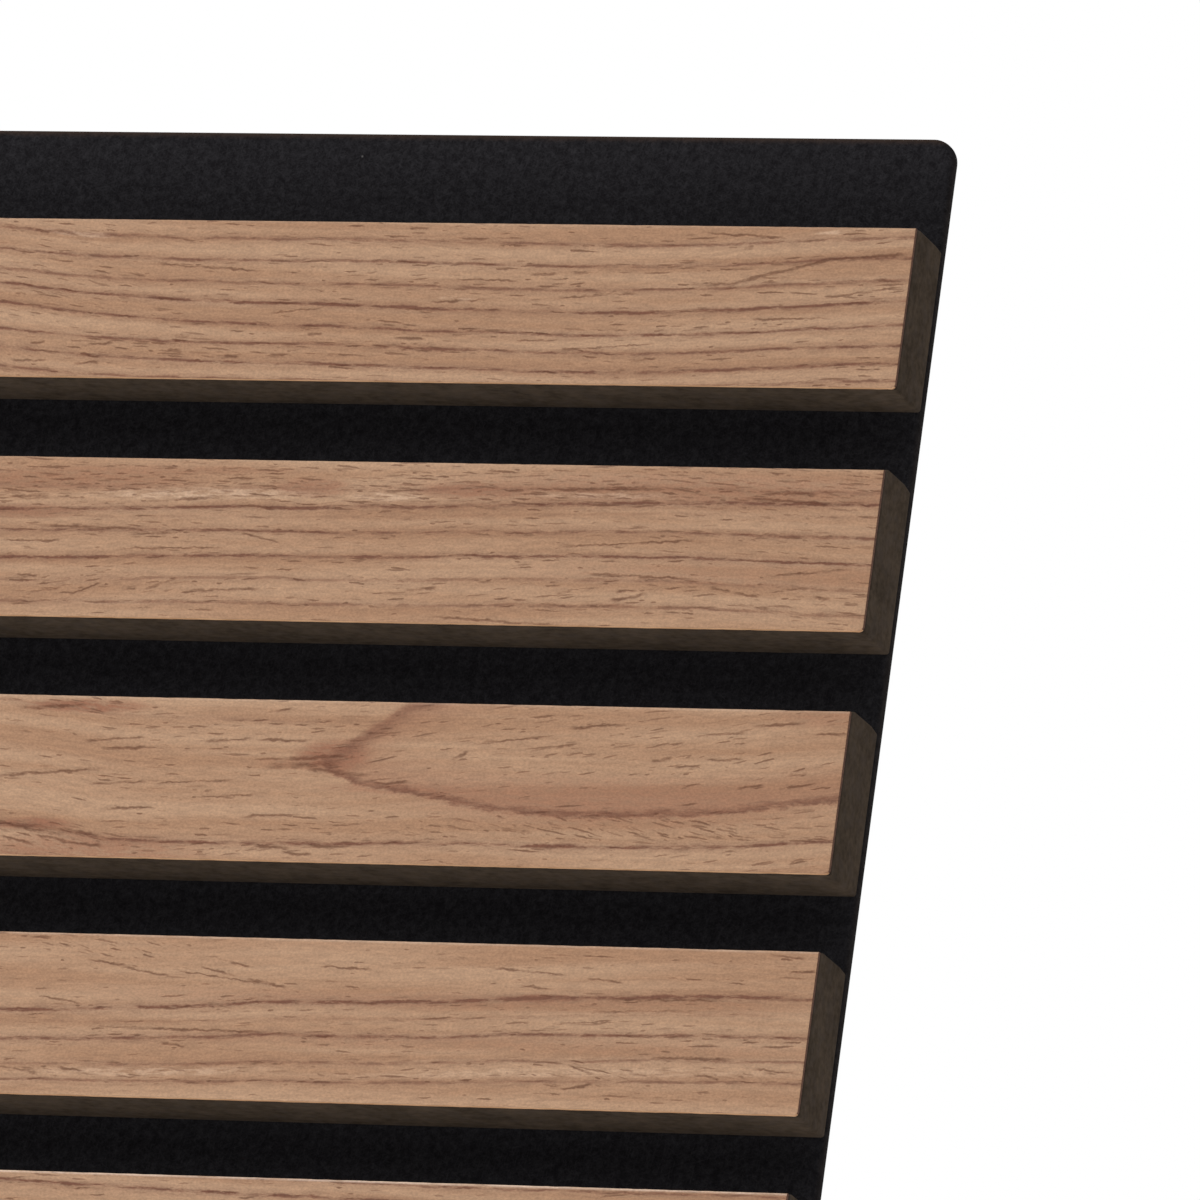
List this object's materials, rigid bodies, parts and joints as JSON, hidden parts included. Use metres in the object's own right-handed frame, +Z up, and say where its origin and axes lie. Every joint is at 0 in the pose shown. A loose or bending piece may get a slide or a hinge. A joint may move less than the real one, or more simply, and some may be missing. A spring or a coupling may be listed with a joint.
{
  "type": "acoustic slat wall panel",
  "caption": "Rectangular wall panel of parallel wood-veneered slats glued to a dark felt backing, which softens sound in a room.",
  "frame": {"origin": "centre of the felt's flat back face, which lies against the wall", "axes": "+X along the slats, +Y into the wall, so that the slats face -Y, and +Z up"},
  "size_m": [0.6, 0.015, 0.587],
  "materials": {
    "felt": "matt needle felt, dark grey",
    "core": "matt dyed fibreboard, dark brown",
    "veneer": "open-pored sliced veneer, light brown, matt"
  },
  "bodies": {
    "root": {"felt_backing": "felt", "slat_core_01": "core", "slat_core_02": "core", "slat_core_03": "core", "slat_core_04": "core", "slat_core_05": "core", "slat_core_06": "core", "slat_core_07": "core", "slat_core_08": "core", "slat_core_09": "core", "slat_core_10": "core", "slat_core_11": "core", "slat_core_12": "core", "slat_core_13": "core", "slat_core_14": "core", "slat_veneer_01": "veneer", "slat_veneer_02": "veneer", "slat_veneer_03": "veneer", "slat_veneer_04": "veneer", "slat_veneer_05": "veneer", "slat_veneer_06": "veneer", "slat_veneer_07": "veneer", "slat_veneer_08": "veneer", "slat_veneer_09": "veneer", "slat_veneer_10": "veneer", "slat_veneer_11": "veneer", "slat_veneer_12": "veneer", "slat_veneer_13": "veneer", "slat_veneer_14": "veneer"}
  },
  "joints": []
}
